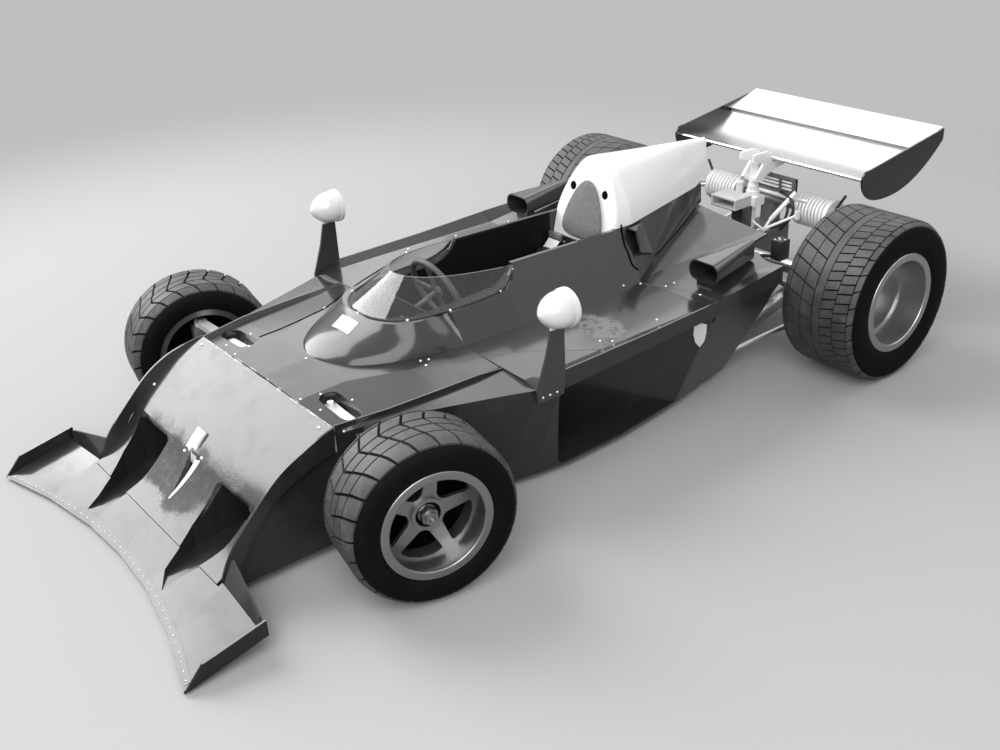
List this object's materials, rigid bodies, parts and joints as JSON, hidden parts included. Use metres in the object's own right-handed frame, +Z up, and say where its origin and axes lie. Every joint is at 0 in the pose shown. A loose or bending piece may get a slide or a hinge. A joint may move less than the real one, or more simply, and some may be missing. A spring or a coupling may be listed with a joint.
{
  "type": "quarter-scale model open wheel racing car",
  "caption": "Large-scale model of an early 1970s open wheel racing car with a full-width wedge nose, side radiator ducts, airbox, rear wing and rolling, steering wheels.",
  "frame": {"origin": "on the ground, in the middle of the car's length and width", "axes": "+Z up, +Y towards the tail, +X towards the car's own left side"},
  "size_m": [0.5008, 1.013, 0.2372],
  "materials": {
    "body_paint": "gloss",
    "white_paint": "gloss",
    "polished_aluminium": "polished",
    "cast_alloy": "satin",
    "bare_steel": "satin",
    "black_plastic": "matt",
    "tyre_rubber": "matt",
    "clear_screen": "clear",
    "grey_foam": "matt",
    "engine_metal": "satin"
  },
  "bodies": {
    "chassis": {"airbox": "white_paint", "box_scoop": "black_plastic", "cockpit_surround": "body_paint", "dash": "body_paint", "engine": "engine_metal", "engine_cover": "body_paint", "exhausts": "bare_steel", "front_endplates": "body_paint", "front_wing": "body_paint", "gearbox": "engine_metal", "head_pad": "grey_foam", "lower_arms": "bare_steel", "mirrors": "white_paint", "monocoque": "body_paint", "nose_panel": "body_paint", "oil_cooler": "bare_steel", "oval_scoops": "body_paint", "rear_deck_left": "body_paint", "rear_deck_right": "body_paint", "rear_endplates": "body_paint", "rear_flap": "polished_aluminium", "rear_links": "bare_steel", "rear_springs": "bare_steel", "rear_uprights": "cast_alloy", "rear_wing": "polished_aluminium", "seat": "black_plastic", "side_body_left": "body_paint", "side_body_right": "body_paint", "upper_arms": "bare_steel", "windscreen": "clear_screen", "wing_post": "bare_steel"},
    "knuckle_left": {"knuckle_left": "cast_alloy"},
    "knuckle_right": {"knuckle_right": "cast_alloy"},
    "front_wheel_left": {"front_tyre_left": "tyre_rubber", "front_rim_left": "cast_alloy"},
    "front_wheel_right": {"front_tyre_right": "tyre_rubber", "front_rim_right": "cast_alloy"},
    "rear_wheel_left": {"rear_tyre_left": "tyre_rubber", "rear_rim_left": "cast_alloy", "half_shaft_left": "bare_steel"},
    "rear_wheel_right": {"rear_tyre_right": "tyre_rubber", "rear_rim_right": "cast_alloy", "half_shaft_right": "bare_steel"},
    "steering_rack": {"steering_rack": "bare_steel"},
    "steering_wheel": {"steering_wheel": "black_plastic"}
  },
  "joints": [
    {"name": "steer_left", "type": "hinge", "parent": "chassis", "child": "knuckle_left", "pos_m": [0.1883, -0.29, 0.0737], "axis": [0, 0, 1], "range_deg": [-6.5, 29.5]},
    {"name": "steer_right", "type": "hinge", "parent": "chassis", "child": "knuckle_right", "pos_m": [-0.1883, -0.29, 0.0737], "axis": [0, 0, 1], "range_deg": [-6.6, 29.6]},
    {"name": "rack_slide", "type": "slide", "parent": "chassis", "child": "steering_rack", "axis": [1, 0, 0], "range_m": [-0.0124, 0.0029]},
    {"name": "steering_wheel_turn", "type": "hinge", "parent": "chassis", "child": "steering_wheel", "pos_m": [0, -0.124, 0.147], "axis": [0, 0.9404, 0.3401], "range_deg": [-66, 296]},
    {"name": "front_left_spin", "type": "hinge", "parent": "knuckle_left", "child": "front_wheel_left", "pos_m": [0.20403, -0.2932, 0.0737], "axis": [0.9799, -0.1994, 0], "continuous": true},
    {"name": "front_right_spin", "type": "hinge", "parent": "knuckle_right", "child": "front_wheel_right", "pos_m": [-0.20403, -0.2868, 0.0737], "axis": [0.9799, -0.1994, 0], "continuous": true},
    {"name": "rear_left_spin", "type": "hinge", "parent": "chassis", "child": "rear_wheel_left", "pos_m": [0.20065, 0.2914, 0.0872], "axis": [1, 0, 0], "continuous": true},
    {"name": "rear_right_spin", "type": "hinge", "parent": "chassis", "child": "rear_wheel_right", "pos_m": [-0.20065, 0.2914, 0.0872], "axis": [1, 0, 0], "continuous": true}
  ],
  "couplings": [
    {"joint": "steer_right", "follows": "steer_left", "ratio": 1},
    {"joint": "rack_slide", "follows": "steer_left", "m_per_rad": -0.0236},
    {"joint": "steering_wheel_turn", "follows": "steer_left", "ratio": 10}
  ]
}
